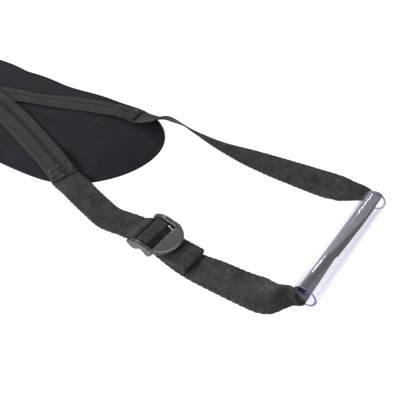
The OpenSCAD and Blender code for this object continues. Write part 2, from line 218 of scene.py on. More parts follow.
def strap(name, run, material, side=1, width=webbing_w, thick=webbing_t, step=0.9, columns=14,
          scallop=0.42, pitch=7.0, part=(0, 1), start=0.0, ripple=0.0, edges=None):
    """A closed strip of fabric along a run of stations, with rounded, scalloped edges.

    part keeps only that share of the run, and start is the distance its weave begins at.
    """
    run, at = even(run, step)
    keep = (at >= part[0] * at[-1] - 1e-6) & (at <= part[1] * at[-1] + 1e-6)
    run, at = run[keep], at[keep] + start
    points, uvs = [], []
    name_shift = sum(ord(c) for c in name) % 17
    shares = [math.sin(math.pi / 2 * (2 * k / columns - 1)) * 0.35 + (2 * k / columns - 1) * 0.65
              for k in range(columns + 1)]
    for station, along in zip(run, at):
        lo, hi = edges(station) if edges else (0, 0)
        uneven = noise.noise(Vector((along * 0.35, 2.1, name_shift)))
        half = width / 2 - scallop + scallop * (1.4 * abs(math.sin(math.pi * along / pitch)) + 0.8 * uneven)
        for face in (1, -1):
            loop = shares if face > 0 else list(reversed(shares))[1:-1]
            for q in loop:
                wave = ripple * noise.noise(Vector((along * 0.045, q * 1.1, 3.7 * side)))
                h = face * thick / 2 * (1 - abs(q) ** 9) ** 0.5 + wave
                points.append(on_strap(station, q * half + (lo * (1 - q) + hi * (1 + q)) / 2, h, width))
                uvs.append((along * MM, q * width / 2 * MM))
    count = 2 * columns
    faces = ring_faces(len(run), count)
    for ring in (0, len(run) - 1):
        for k in range(columns):
            a, b = ring * count + k, ring * count + k + 1
            c = ring * count + (count - k - 1) % count
            d = ring * count + (count - k) % count
            if k == 0:
                faces.append((a, c, b))
            elif k == columns - 1:
                faces.append((a, d, b))
            else:
                faces.append((a, d, c, b))
    return make(name, points, faces, material, side, uvs)


def stitches(name, lines, material, side=1, pitch=3.0, length=2.3, radius=0.32):
    """Sewn threads: each line is a function of share 0 to 1 giving (point, normal), and its length."""
    points, faces = [], []
    sides = 6
    spindle = ((0, 0.35), (0.15, 0.85), (0.5, 1), (0.85, 0.85), (1, 0.35))
    for line, far in lines:
        for n in range(max(1, int(far / pitch))):
            middle = (n + 0.5) * pitch / far
            a, up = line(max(0.0, middle - length / far / 2))
            b, _ = line(min(1.0, middle + length / far / 2))
            along = b - a
            if np.linalg.norm(along) < 1e-6:
                continue
            reach = np.linalg.norm(along)
            along = along / reach
            up = up / np.linalg.norm(up)
            out = np.cross(up, along)
            base = len(points)
            for far_share, swell in spindle:
                lift = radius * (0.15 + 0.55 * math.sin(math.pi * far_share))
                centre = a + along * reach * far_share + up * lift
                for i in range(sides):
                    turn = 2 * math.pi * i / sides
                    round_thread = math.cos(turn) * out + 0.8 * math.sin(turn) * up
                    points.append(centre + radius * swell * round_thread)
            faces += [tuple(base + v for v in f) for f in ring_faces(len(spindle), sides)]
            faces.append(tuple(base + i for i in range(sides)))
            faces.append(tuple(base + (len(spindle) - 1) * sides + i for i in range(sides)))
    return make(name, points, faces, material, side)


def sewn_on(run, width, glint_spots):
    """A straight seam on a strap between two (distance, across) spots, sitting on its upper face."""
    (l0, s0), (l1, s1) = glint_spots
    dense, at = even(run, 0.5)

    def line(share, lift=0.0):
        far, s = l0 + (l1 - l0) * share, s0 + (s1 - s0) * share
        station = np.array([np.interp(far, at, dense[:, k]) for k in range(10)])
        below = on_strap(station, s, 0, width)
        above = on_strap(station, s, elastic_t / 2 + 0.05, width)
        return above, above - below
    return line, math.hypot(l1 - l0, s1 - s0)


def sewn_box(run, width, l0, l1, half, cross=True):
    """The lines of a sewn box between two distances, with a cross in it."""
    glint_spots = [((l0, -half), (l0, half)), ((l1, -half), (l1, half)),
             ((l0, -half), (l1, -half)), ((l0, half), (l1, half))]
    if cross:
        glint_spots += [((l0, -half), (l1, half)), ((l0, half), (l1, -half))]
    return [sewn_on(run, width, pair) for pair in glint_spots]


# ---- the pad's surface ---------------------------------------------------------------------------
def ramp(v, start, end):
    k = min(max((v - start) / (end - start), 0.0), 1.0)
    return k * k * (3 - 2 * k)


def bell(v, middle, spread):
    return math.exp(-((v - middle) / spread) ** 2)


def centre_y(x):
    return sweep * (x / tip_x) ** 2


def half_at(x, side):
    d = abs(x)
    if side > 0:
        return half_w + edge_wave * math.cos(2 * math.pi * (d - 155) / 115) * (1 - ramp(d, 215, 250))
    return half_w - waist * (1 - ramp(d, 95, 195))


def push(v):
    return end_push * math.sin(math.radians(120 * (v - 0.15)))


def share_out(x, y):
    up = y - centre_y(x)
    v = up / half_at(x, up)
    out = abs(x) - spine_x
    return math.hypot(max(out - push(v) * ramp(out, 0, 60), 0) / end_len, v)


def pad_top(x, y):
    return rim_h + crown_h * max(0.0, 1 - (share_out(x, y) / rim_share) ** 2)


def slope_at(x, y, e=12.0):
    """Slope of the pad across it under a strap, in degrees."""
    return math.degrees(math.atan((pad_top(x, y + e) - pad_top(x, y - e)) / (2 * e)))


def seat(x, y):
    """Lowest height at which the middle of a strap with that slope and bow clears the pad."""
    half = elastic_w / 2
    rise = math.tan(math.radians(slope_at(x, y)))
    drop = elastic_w * math.radians(band_bow) / 8
    return max(pad_top(x, y + half * k / 3) - half * k / 3 * rise + drop * k * k / 9 for k in range(-3, 4))


def end_point(x_sign, a, share, inset):
    v = math.sin(a)
    k = end_len * share * math.cos(a)
    x = spine_x + k + push(v * share) * ramp(k, 0, 60) * share - inset * math.cos(a)
    return (x_sign * x, centre_y(x) + (half_at(x, v) * share - inset) * v)


def ring_xy(share, inset=0.0, side_count=46, end_count=40):
    """Points round the pad at a share of its half width, drawn in by an inset."""
    out = []
    for i in range(side_count):
        x = spine_x * (2 * i / side_count - 1)
        out.append((x, centre_y(x) + half_at(x, 1) * share - inset))
    out += [end_point(1, math.pi * (0.5 - i / end_count), share, inset) for i in range(end_count)]
    for i in range(side_count):
        x = spine_x * (1 - 2 * i / side_count)
        out.append((x, centre_y(x) - half_at(x, -1) * share + inset))
    out += [end_point(-1, -math.pi * (0.5 - i / end_count), share, inset) for i in range(end_count)]
    return out


# ---- materials -----------------------------------------------------------------------------------
class Shader:
    """A small helper that wires shader nodes for one material."""

    def __init__(self, name):
        self.material = bpy.data.materials.new(name)
        self.material.use_nodes = True
        self.tree = self.material.node_tree
        self.surface = self.tree.nodes["Principled BSDF"]

    def node(self, kind, **settings):
        made = self.tree.nodes.new(kind)
        for key, value in settings.items():
            setattr(made, key, value)
        return made

    def link(self, value, socket):
        if hasattr(value, "links"):
            self.tree.links.new(value, socket)
        else:
            socket.default_value = value

    def math(self, operation, a, b=0.0):
        made = self.node("ShaderNodeMath", operation=operation)
        self.link(a, made.inputs[0])
        self.link(b, made.inputs[1])
        return made.outputs[0]

    def place(self):
        return self.node("ShaderNodeTexCoord").outputs["Object"]

    def strap_axes(self):
        """Distance along and across a strap, in millimetres."""
        uv = self.node("ShaderNodeUVMap", uv_map="strap")
        split = self.node("ShaderNodeSeparateXYZ")
        self.link(uv.outputs[0], split.inputs[0])
        return (self.math("MULTIPLY", split.outputs[0], 1000.0),
                self.math("MULTIPLY", split.outputs[1], 1000.0))

    def noise(self, scale, detail=2.0, rough=0.5, stretch=None, vector=None):
        """Noise at a scale per metre, between 0 and 1."""
        made = self.node("ShaderNodeTexNoise")
        made.inputs["Scale"].default_value = scale
        made.inputs["Detail"].default_value = detail
        made.inputs["Roughness"].default_value = rough
        vector = vector or self.place()
        if stretch:
            mapping = self.node("ShaderNodeMapping")
            mapping.inputs["Scale"].default_value = stretch
            self.link(vector, mapping.inputs[0])
            vector = mapping.outputs[0]
        self.link(vector, made.inputs["Vector"])
        return made.outputs["Fac"]

    def half(self, value):
        """Maps -1..1 to 0..1."""
        made = self.math("MULTIPLY_ADD", value, 0.5)
        made.node.inputs[2].default_value = 0.5
        return made

    def sine(self, value, period):
        return self.half(self.math("SINE", self.math("MULTIPLY", value, 2 * math.pi / period)))

    def band(self, value, centre, width, soft=1.2):
        """1 within width of the centre, falling softly to 0 outside."""
        away = self.math("ABSOLUTE", self.math("SUBTRACT", value, centre))
        made = self.node("ShaderNodeMapRange", interpolation_type="SMOOTHSTEP")
        self.link(away, made.inputs["Value"])
        made.inputs["From Min"].default_value = width / 2 + soft / 2
        made.inputs["From Max"].default_value = width / 2 - soft / 2
        return made.outputs[0]

    def mix(self, share, a, b):
        made = self.node("ShaderNodeMix", data_type="RGBA")
        self.link(share, made.inputs[0])
        self.link(a, made.inputs[6])
        self.link(b, made.inputs[7])
        return made.outputs[2]

    def colour(self, value):
        self.link(value, self.surface.inputs["Base Color"])

    def bump(self, height, distance, strength=1.0):
        made = self.node("ShaderNodeBump")
        made.inputs["Strength"].default_value = strength
        made.inputs["Distance"].default_value = distance
        self.link(height, made.inputs["Height"])
        self.link(made.outputs[0], self.surface.inputs["Normal"])
        return made

    def set(self, **values):
        for key, value in values.items():
            self.link(value, self.surface.inputs[key.replace("_", " ")])


def grey(value, warm=0.0, blue=0.0):
    return (value * (1 + warm), value, value * (1 - warm + blue), 1)


def webbing_material(name="woven_webbing", rolled=False):
    s = Shader(name)
    along, across = s.strap_axes()
    chevron = s.math("ADD", along, s.math("MULTIPLY", s.math("ABSOLUTE", across), 1.25))
    diagonal = s.sine(s.math("ADD", chevron, s.math("MULTIPLY", s.noise(160, 2, 0.5), 5.0)), 3.4)
    check = s.math("MULTIPLY", s.sine(along, 1.5), s.sine(across, 1.3))
    weave = s.math("ADD", s.math("MULTIPLY", diagonal, 0.55), s.math("MULTIPLY", check, 0.6))
    fuzz = s.noise(1500, 3, 0.75)
    mottle = s.noise(520, 2, 0.7)
    cloud = s.noise(70, 3, 0.6)
    tone = s.math("ADD", s.math("MULTIPLY", weave, 0.34), s.math("MULTIPLY", fuzz, 0.4))
    tone = s.math("ADD", tone, s.math("MULTIPLY", s.math("SUBTRACT", mottle, 0.5), 1.3))
    tone = s.math("ADD", tone, s.math("MULTIPLY", s.math("SUBTRACT", cloud, 0.5), 0.7))
    middle = s.band(across, 0.0, 7.0, 9.0)
    tone = s.math("SUBTRACT", tone, s.math("MULTIPLY", middle, 0.06))
    body = s.mix(tone, grey(0.007), grey(0.062, 0.02, 0.03))
    edge = s.math("SUBTRACT", 1.0, s.band(across, 0.0, webbing_w - 2.2, 1.0))
    body = s.mix(s.math("MULTIPLY", edge, 0.3), body, grey(0.05))
    if rolled:
        # seen through the grip: painted light (pale) where the wall would catch the light, painted shade
        # (dark plum) where it turns away; turned is the share of painted shade
        line = s.math("ADD", across, s.math("MULTIPLY", along, -0.05))
        turned = s.node("ShaderNodeMapRange", interpolation_type="SMOOTHSTEP")
        s.link(s.math("ADD", line, s.math("MULTIPLY", s.noise(45, 2, 0.5), 3.0)), turned.inputs["Value"])
        turned.inputs["From Min"].default_value = 8.6
        turned.inputs["From Max"].default_value = 11.0
        painted_light = s.mix(tone, (0.09, 0.086, 0.1, 1), (0.24, 0.23, 0.26, 1))
        painted_shade = s.mix(tone, (0.006, 0.004, 0.009, 1), (0.03, 0.024, 0.038, 1))
        inside = s.band(along, outside + tube_len / 2, tube_len - 4, 4.0)
        body = s.mix(inside, body, s.mix(turned.outputs[0], painted_light, painted_shade))
    s.colour(body)
    s.set(Roughness=0.85, Sheen_Weight=0.04, Sheen_Roughness=0.5)
    s.surface.inputs["Specular IOR Level"].default_value = 0.06
    s.bump(s.math("ADD", weave, s.math("MULTIPLY", fuzz, 0.4)), 0.0004, 0.9)
    return s.material


def elastic_material():
    s = Shader("ribbed_elastic")
    along, across = s.strap_axes()
    rib = s.sine(across, 1.25)
    knit = s.math("MULTIPLY", s.sine(along, 0.9), s.sine(across, 0.62))
    faint = s.math("MULTIPLY", s.band(across, -11, 4.5, 2.2), 0.4)
    stripe = s.math("ADD", s.band(across, 2.6, 6.5, 2.4), faint)
    fuzz = s.noise(1300, 3, 0.75)
    streak = s.noise(60, 2, 0.6, stretch=(0.25, 3.0, 1.0))
    tone = s.math("ADD", s.math("MULTIPLY", rib, 0.2), s.math("MULTIPLY", fuzz, 0.55))
    tone = s.math("ADD", tone, s.math("MULTIPLY", streak, 0.45))
    tone = s.math("SUBTRACT", tone, s.math("MULTIPLY", stripe, 0.4))
    s.colour(s.mix(tone, grey(0.004), grey(0.036, 0.0, 0.02)))
    s.set(Roughness=0.85, Sheen_Weight=0.04, Sheen_Roughness=0.5)
    s.surface.inputs["Specular IOR Level"].default_value = 0.06
    s.bump(s.math("ADD", rib, s.math("MULTIPLY", knit, 0.7)), 0.0003, 0.8)
    return s.material


def cover_material():
    s = Shader("cover_jersey")
    fine = s.noise(800, 4, 0.8)
    cloud = s.noise(35, 4, 0.6)
    streak = s.noise(500, 2, 0.5, stretch=(0.5, 2.2, 1))
    tone = s.math("ADD", s.math("MULTIPLY", fine, 0.5), s.math("MULTIPLY", cloud, 0.3))
    tone = s.math("ADD", tone, s.math("MULTIPLY", streak, 0.3))
    tone = s.math("ADD", s.math("MULTIPLY", tone, 1.7), -0.4)
    s.colour(s.mix(tone, (0.0015, 0.0016, 0.002, 1), (0.0185, 0.019, 0.0245, 1)))
    s.set(Roughness=0.88, Sheen_Weight=0.03, Sheen_Roughness=0.45, Sheen_Tint=(0.75, 0.8, 1.0, 1))
    s.surface.inputs["Specular IOR Level"].default_value = 0.05
    s.bump(s.math("ADD", fine, s.math("MULTIPLY", streak, 0.8)), 0.0005, 0.55)
    return s.material


def foam_material():
    s = Shader("closed_cell_foam")
    cells = s.noise(900, 3, 0.6)
    s.colour(s.mix(cells, grey(0.05), grey(0.12)))
    s.set(Roughness=0.9)
    s.bump(cells, 0.0005, 0.6)
    return s.material


def thread_material(name, dark, light, painted_glint):
    """Twisted thread with a few pale flecks painted in as glints where it would catch the light."""
    s = Shader(name)
    twist = s.noise(3500, 2, 0.6)
    glint_spots = s.node("ShaderNodeMapRange")
    s.link(s.noise(420, 1, 0.4), glint_spots.inputs["Value"])
    glint_spots.inputs["From Min"].default_value = 0.6
    glint_spots.inputs["From Max"].default_value = 0.7
    s.colour(s.mix(glint_spots.outputs[0], s.mix(twist, grey(dark), grey(light)), grey(painted_glint)))
    s.set(Roughness=0.75, Sheen_Weight=0.03)
    s.surface.inputs["Specular IOR Level"].default_value = 0.1
    s.bump(twist, 0.0002, 0.5)
    return s.material


def buckle_material():
    s = Shader("satin_plastic")
    grain = s.noise(3800, 2, 0.5)
    flow = s.noise(70, 3, 0.5)
    scuff = s.noise(260, 5, 0.75, stretch=(0.35, 2.5, 1))
    mark = s.node("ShaderNodeMapRange")
    s.link(scuff, mark.inputs["Value"])
    mark.inputs["From Min"].default_value = 0.62
    mark.inputs["From Max"].default_value = 0.75
    s.colour(s.mix(flow, (0.012, 0.0108, 0.012, 1), (0.02, 0.018, 0.02, 1)))
    rough = s.math("ADD", s.math("MULTIPLY", mark.outputs[0], 0.12), 0.33)
    s.set(Roughness=rough)
    s.surface.inputs["Specular IOR Level"].default_value = 0.5
    rounded = s.node("ShaderNodeBevel", samples=6)
    rounded.inputs["Radius"].default_value = 0.0014
    fine = s.bump(grain, 0.00006, 0.5)
    s.link(rounded.outputs[0], fine.inputs["Normal"])
    return s.material


def tube_material():
    """Clear flexible tube: thin, slightly milky, with a blue tint where the cut end is seen."""
    s = Shader("clear_tube")
    place = s.node("ShaderNodeTexCoord").outputs["Object"]
    geometry = s.node("ShaderNodeNewGeometry")
    dot = s.node("ShaderNodeVectorMath", operation="DOT_PRODUCT")
    s.link(geometry.outputs["True Normal"], dot.inputs[0])
    dot.inputs[1].default_value = tuple(grip_dir)
    mirrored = s.node("ShaderNodeVectorMath", operation="DOT_PRODUCT")
    s.link(geometry.outputs["True Normal"], mirrored.inputs[0])
    mirrored.inputs[1].default_value = (-grip_dir[0], grip_dir[1], grip_dir[2])
    facing = s.math("MAXIMUM", s.math("ABSOLUTE", dot.outputs["Value"]),
                    s.math("ABSOLUTE", mirrored.outputs["Value"]))
    ring = s.node("ShaderNodeMapRange", interpolation_type="SMOOTHSTEP")
    s.link(facing, ring.inputs["Value"])
    ring.inputs["From Min"].default_value = 0.2
    ring.inputs["From Max"].default_value = 0.6
    haze = s.noise(40, 3, 0.6, vector=place)
    weight = s.node("ShaderNodeLayerWeight")
    weight.inputs["Blend"].default_value = 0.5
    grazing = weight.outputs["Facing"]
    clear = s.node("ShaderNodeBsdfTransparent")
    tint = s.mix(s.math("POWER", grazing, 3.0), (0.985, 0.98, 0.995, 1), (0.66, 0.63, 0.82, 1))
    s.link(tint, clear.inputs[0])
    shine = s.node("ShaderNodeBsdfGlossy")
    shine.inputs["Color"].default_value = (1, 1, 1, 1)
    s.link(s.math("ADD", s.math("MULTIPLY", haze, 0.06), 0.07), shine.inputs["Roughness"])
    milk = s.node("ShaderNodeBsdfDiffuse")
    milk.inputs["Color"].default_value = (0.84, 0.82, 0.97, 1)
    body = s.node("ShaderNodeMixShader")
    s.link(s.math("ADD", s.math("MULTIPLY", s.math("POWER", grazing, 4.0), 0.2), 0.01), body.inputs[0])
    s.link(clear.outputs[0], body.inputs[1])
    s.link(milk.outputs[0], body.inputs[2])
    coat = s.node("ShaderNodeMixShader")
    s.link(s.math("ADD", s.math("MULTIPLY", s.math("POWER", grazing, 5.0), 0.7), 0.045), coat.inputs[0])
    s.link(body.outputs[0], coat.inputs[1])
    s.link(shine.outputs[0], coat.inputs[2])
    s.set(Base_Color=(0.045, 0.052, 0.17, 1), Roughness=0.35)
    whole = s.node("ShaderNodeMixShader")
    s.link(s.math("MULTIPLY", ring.outputs[0], 0.93), whole.inputs[0])
    s.link(coat.outputs[0], whole.inputs[1])
    s.link(s.surface.outputs[0], whole.inputs[2])
    s.link(whole.outputs[0], s.tree.nodes["Material Output"].inputs["Surface"])
    return s.material


WEBBING = webbing_material()
# the webbing inside the grip, with light and shade painted into its colour
WEBBING_PAINTED_LIGHT_AND_SHADE = webbing_material("webbing_in_grip", rolled=True)
ELASTIC = elastic_material()
COVER = cover_material()
FOAM = foam_material()
DARK_THREAD = thread_material("dark_thread", 0.002, 0.012, 0.05)
# lap and centre thread: dark partly as its own colour and partly as painted shade of the stitch rows, with
# strong painted glints
SHADE_AND_GLINT_THREAD = thread_material("thread_painted_shade_and_glints", 0.002, 0.012, 0.4)
PLASTIC = buckle_material()
TUBE = tube_material()


# ---- pad -----------------------------------------------------------------------------------------
seam_share = 0.962


def cover_ripple(x, y, share):
    """Small swells of the cover, and puckers where the rim is sewn."""
    swell = 0.45 * noise.noise(Vector((x * 0.022, y * 0.03, 1.3)))
    round_pad = math.atan2(y - centre_y(x), x / 2.2) * 60
    pucker = 0.28 * noise.noise(Vector((round_pad * 1.1, 0.5, 7.1))) * bell(share, 0.93, 0.035)
    seam = -0.7 * bell(share, seam_share, 0.008)
    return swell * min(1.0, (1 - share) * 8) + pucker + seam


def swollen_cover():
    """How far a sheet of the cover's cloth rises when it is sewn down at the rim and pressed from below."""
    count = len(ring_xy(1))
    shares = [0.04] + [0.1 + 0.86 * k / 22 for k in range(23)]
    points = [Vector((x, y, pad_top(x, y))) * MM for share in shares for x, y in ring_xy(share)]
    mesh = bpy.data.meshes.new("cover_sheet")
    mesh.from_pydata(points, [], ring_faces(len(shares), count) + [tuple(range(count))])
    sheet = bpy.data.objects.new("cover_sheet", mesh)
    bpy.context.scene.collection.objects.link(sheet)
    sewn = sheet.vertex_groups.new(name="sewn")
    sewn.add(list(range((len(shares) - 1) * count, len(points))), 1.0, "REPLACE")
    cloth = sheet.modifiers.new("cloth", "CLOTH")
    cloth.settings.vertex_group_mass = "sewn"
    cloth.settings.use_pressure = True
    cloth.settings.uniform_pressure_force = 4
    cloth.settings.shrink_min = -0.012
    cloth.settings.bending_stiffness = 0.3
    cloth.settings.quality = 4
    cloth.settings.effector_weights.gravity = 0
    cloth.collision_settings.use_collision = False
    scene = bpy.context.scene
    for step in range(1, 21):
        scene.frame_set(step)
    moved = sheet.evaluated_get(bpy.context.evaluated_depsgraph_get())
    settled = [v.co.copy() for v in moved.data.vertices]
    scene.frame_set(1)
    bpy.data.objects.remove(sheet)
    rise = np.array([(b.z - a.z) / MM for a, b in zip(points, settled)]).reshape(len(shares), count)
    even_rise = np.array([np.convolve(np.concatenate([row[-8:], row, row[:8]]), np.ones(17) / 17, "valid")
                          for row in rise])
    fold = np.clip((rise - even_rise) * 1.5, -0.5, 0.5)
    return np.array(shares), np.clip(even_rise, 0, 0.7) + fold


def pad_cover():
    swell = swollen_cover()
    shares = [0.03 + 0.87 * k / 22 for k in range(22)] + [0.905 + 0.085 * k / 12 for k in range(13)]
    count = len(ring_xy(1))
    points = []
    rings = 0
    for share in shares:
        for i, (x, y) in enumerate(ring_xy(share)):
            lift = np.interp(share, swell[0], swell[1][:, i]) if swell else 0.0
            points.append((x, y, pad_top(x, y) + cover_ripple(x, y, share) + lift))
        rings += 1
    bulge = rim_h - 0.2
    turned = [(0.3, 0.93), (0.05, 0.75), (0.0, 0.5), (0.15, 0.3)]
    for inset, up in turned:
        for x, y in ring_xy(1, inset):
            points.append((x, y, bulge * up + 0.25))
        rings += 1
    for inset, z in ((0.9, 1.15), (1.2, 1.4), (1.3, rim_h - 1.3)):
        for x, y in ring_xy(1, inset):
            points.append((x, y, z))
        rings += 1
    for share in reversed(shares[:-4:3]):
        for x, y in ring_xy(share * 0.985):
            points.append((x, y, pad_top(x / 0.985, y) - 1.2))
        rings += 1
    faces = ring_faces(rings, count)
    faces.append(tuple(range(count)))
    faces.append(tuple((rings - 1) * count + i for i in range(count)))
    cover = make("top_cover_fabric", points, faces, COVER)
    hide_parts("top_cover")
    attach(cover, "pad")


def pad_back():
    count = len(ring_xy(1))
    points = []
    rings = [(0.02, None, 0.0), (0.3, None, 0.0), (0.6, None, 0.0), (0.85, None, 0.0), (0.96, None, 0.0)]
    rings += [(1, 0.5, 0.0), (1, 0.15, 0.2), (1, 0.05, 0.5), (1, 0.2, 0.85), (1, 0.6, 1.0), (0.9, None, 1.0),
              (0.5, None, 1.0), (0.02, None, 1.0)]
    for share, inset, z in rings:
        for x, y in ring_xy(share, inset or 0.0):
            points.append((x, y, z))
    faces = ring_faces(len(rings), count)
    faces.append(tuple(reversed(range(count))))
    faces.append(tuple((len(rings) - 1) * count + i for i in range(count)))
    back = make("bottom_cover_fabric", points, faces, COVER)
    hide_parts("bottom_cover")
    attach(back, "pad")


def pad_foam():
    rings = [[(x, y, 1.2) for x, y in ring_xy(share)] for share in (0.03, 0.3, 0.6, 0.85)]
    rings += [[(x, y, z) for x, y in ring_xy(1, 1.6)] for z in (1.2, rim_h - 1.6)]
    for k in range(14):
        rings.append([(x, y, pad_top(x, y) - 1.6) for x, y in ring_xy(0.92 - 0.89 * k / 13)])
    count = len(rings[0])
    faces = ring_faces(len(rings), count)
    faces.append(tuple(reversed(range(count))))
    faces.append(tuple((len(rings) - 1) * count + i for i in range(count)))
    foam = make("foam_core", [p for ring in rings for p in ring], faces, FOAM)
    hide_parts("pad_core")
    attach(foam, "pad")


def rim_stitches():
    ring = np.array([(x, y, pad_top(x, y) + 0.05) for x, y in ring_xy(seam_share)])
    ring = np.vstack([ring, ring[:1]])
    far = np.concatenate([[0], np.cumsum(np.linalg.norm(np.diff(ring, axis=0), axis=1))])

    def line(share):
        point = np.array([np.interp(share * far[-1], far, ring[:, k]) for k in range(3)])
        return point - (0, 0, 0.45), np.array([0.0, 0.0, 1.0])
    sewn = stitches("rim_stitches", [(line, far[-1])], DARK_THREAD, pitch=3.2, length=2.5, radius=0.35)
    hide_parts("edge_stitching")
    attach(sewn, "pad")


# ---- elastic bands -------------------------------------------------------------------------------
cross_step = elastic_t + 0.5
lap_step = webbing_t + gap
band_reach = lap_x + lap_len / 2
band_lie = 1.6


def band_y(x, end_y, start_slope, end_slope):
    k = x / band_reach
    return (end_y * (3 * k * k - 2 * k ** 3) + start_slope * band_reach * k * (1 - k) ** 2
            - end_slope * band_reach * k * k * (1 - k))


def near_y(x):
    return band_y(x, near_lap_y - 5, -0.2, -0.42)


def far_y(x):
    return band_y(x, far_lap_y + 2, 0.42, 0.16)


def band_row(x, y, over):
    step = (over * cross_step * (1 - ramp(abs(x), 55, 90))
            + lap_step * ramp(abs(x), lap_x - 38, lap_x - 17))
    return [x, y, seat(x, y) + elastic_t / 2 + band_lie + step, slope_at(x, y), -band_bow]


def band_run(over, near_end):
    """Stations of one half of a band, from the crossing out to its lap on the right-hand side."""
    rows = []
    for i in range(41):
        x = band_reach * i / 40
        rows.append(band_row(x, near_y(x) if near_end else far_y(x), over))
    return stations(smooth(with_heading(rows), 3))


def near_band_edges(station):
    """How far the lower and the upper edge of the near band stray from its even width."""
    x = station[0]
    return -1.2 * bell(x, 150, 40), 4.5 * (1 - ramp(x, 60, 200)) - 1.2 * ramp(x, 205, 245)


def far_band_edges(station):
    x = station[0]
    return -3.5 * bell(x, 135, 40), 4 * bell(x, 188, 32) - 7 * bell(x, 92, 30)


def bands():
    for name, over in (("over", 1), ("under", 0)):
        for side_name, side in SIDES.items():
            # the upper band runs from the near right lap to the far left one, the lower band the other way
            near_end = (side > 0) == (over == 1)
            run = band_run(over, near_end)
            half = strap(f"band_{name}_{side_name}", run, ELASTIC, side, elastic_w, elastic_t, step=1.2,
                         columns=18, scallop=0.08, pitch=1.8, ripple=0.25,
                         edges=near_band_edges if near_end else far_band_edges)
            if side > 0:
                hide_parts(f"elastic_{name}")
            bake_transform(half)


def centre_stitches():
    run = band_run(1, True)
    lines = sewn_box(run, elastic_w, 0.5, 11, 8)
    sewn = stitches("centre_stitches", lines, SHADE_AND_GLINT_THREAD, pitch=2.4, length=1.8, radius=0.26)
    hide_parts("centre_stitching")
    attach(sewn, "pad")


# ---- webbing loops -------------------------------------------------------------------------------
def strap_z(x, y):
    return seat(x, y) + 0.8 + webbing_t / 2


def pad_row(x, y, rise=0.0):
    return [x, y, strap_z(x, y) + rise, slope_at(x, y), -band_bow]


def buckle_point(u, z):
    return [bar_x + u * math.cos(buckle_yaw), bar_y - u * math.sin(buckle_yaw), z]


def buckle_station(u, z, angle, aside=0.0):
    """A station in the buckle's own plane, its normal turned by an angle from +Z towards the grip."""
    a = math.radians(angle)
    across = np.array([math.sin(buckle_yaw), math.cos(buckle_yaw), 0])
    along = np.array([math.cos(buckle_yaw), -math.sin(buckle_yaw), 0])
    return np.concatenate([buckle_point(u, z) + across * aside, across,
                           along * math.sin(a) + np.array([0, 0, math.cos(a)]), [0]])


def on_tube(d):
    return grip_x + d * grip_dir[0], grip_y + d * grip_dir[1]


def in_tube(d, turn):
    shift = curl_r * math.sin(math.radians(turn))
    x, y = on_tube(d)
    return [x - grip_dir[1] * shift, y + grip_dir[0] * shift, grip_z - curl_r * math.cos(math.radians(turn)),
            turn, full_curl, 90 - tube_skew]


near_turn = 90
far_turn = 125
far_ease = 16
loop_r = bar_r + 0.2 + webbing_t / 2


def buckle_strap_run():
    route = [
        pad_row(lap_x - lap_len / 2, near_lap_y + 4),
        pad_row(lap_x, near_lap_y),
        pad_row(lap_x + 14, near_lap_y - 5),
        [hinge_x - 19, near_lap_y - 8.5, 6.6, 6, 0],
        [hinge_x, near_lap_y - 13.5, 4.6, 2, 0],
        [hinge_x + 25, near_lap_y - 19.8, 3.2, 0, 0],
        [bar_x - 50, bar_y - 4, 2.8, 0, 0],
        [bar_x - 30, bar_y - 2.6, 3.3, 0, 0]]
    first = stations(smooth(with_heading(route)))
    turn = [buckle_station(-18, 3.9, -3, -2.6), buckle_station(-11.5, 4.8, -16, -2),
            buckle_station(-7.5, 7.1, -42, -1)]
    for k in range(21):
        a = -48 + 12 * k
        turn.append(buckle_station(loop_r * math.sin(math.radians(a)),
                                   bar_z + loop_r * math.cos(math.radians(a)), a))
    turn += [buckle_station(-8, 3, 172, -1), buckle_station(-16, 1.9, 176, -2.3),
             buckle_station(-28, 1.1, 179, -2.6)]
    return np.vstack([first, turn])


def roll_turn(k):
    """How far the rolled webbing has turned in the tube, k from -1 at the near mouth to 1 at the far one."""
    return near_turn + (far_turn - near_turn) * (k + 1) / 2 - far_ease * ramp(k, 0.4, 1)


def far_run():
    route = [
        pad_row(lap_x - lap_len / 2, far_lap_y - 3),
        pad_row(lap_x, far_lap_y),
        pad_row(lap_x + 18, far_lap_y + 3, 0.3),
        [hinge_x - 9, far_lap_y + 8.5, 12.5, -26, 0],
        [hinge_x + 6, far_lap_y + 14, 15.2, -46, 0],
        [hinge_x + 24, far_lap_y + 16, 15.6, -50, 0],
        [hinge_x + 62, far_lap_y + 11, 13.4, -40, 0],
        [hinge_x + 100, far_lap_y + 9, 9.5, -24, 0],
        [hinge_x + 158, far_lap_y + 11.5, 6, 2, 0, 1],
        [grip_x - 58.8, far_lap_y + 11.1, 10.4, 22, -15, 2],
        [grip_x - 37.7, far_lap_y + 11.2, 14.1, 24, -50, -11],
        [grip_x - 25.6, far_lap_y + 10.5, 16.9, 26, -100, -21],
        [grip_x - 15.4, far_lap_y + 11.8, 17.8, 35, -146, -38],
        [grip_x - 8.2, far_lap_y + 12.7, 17.7, 46, -187, -62]]
    end = in_tube(mouth + outside + gap, roll_turn(1))
    route.append(end[:3] + [180 - roll_turn(1), -full_curl, end[5] - 180])
    return stations(smooth(with_heading(route)))


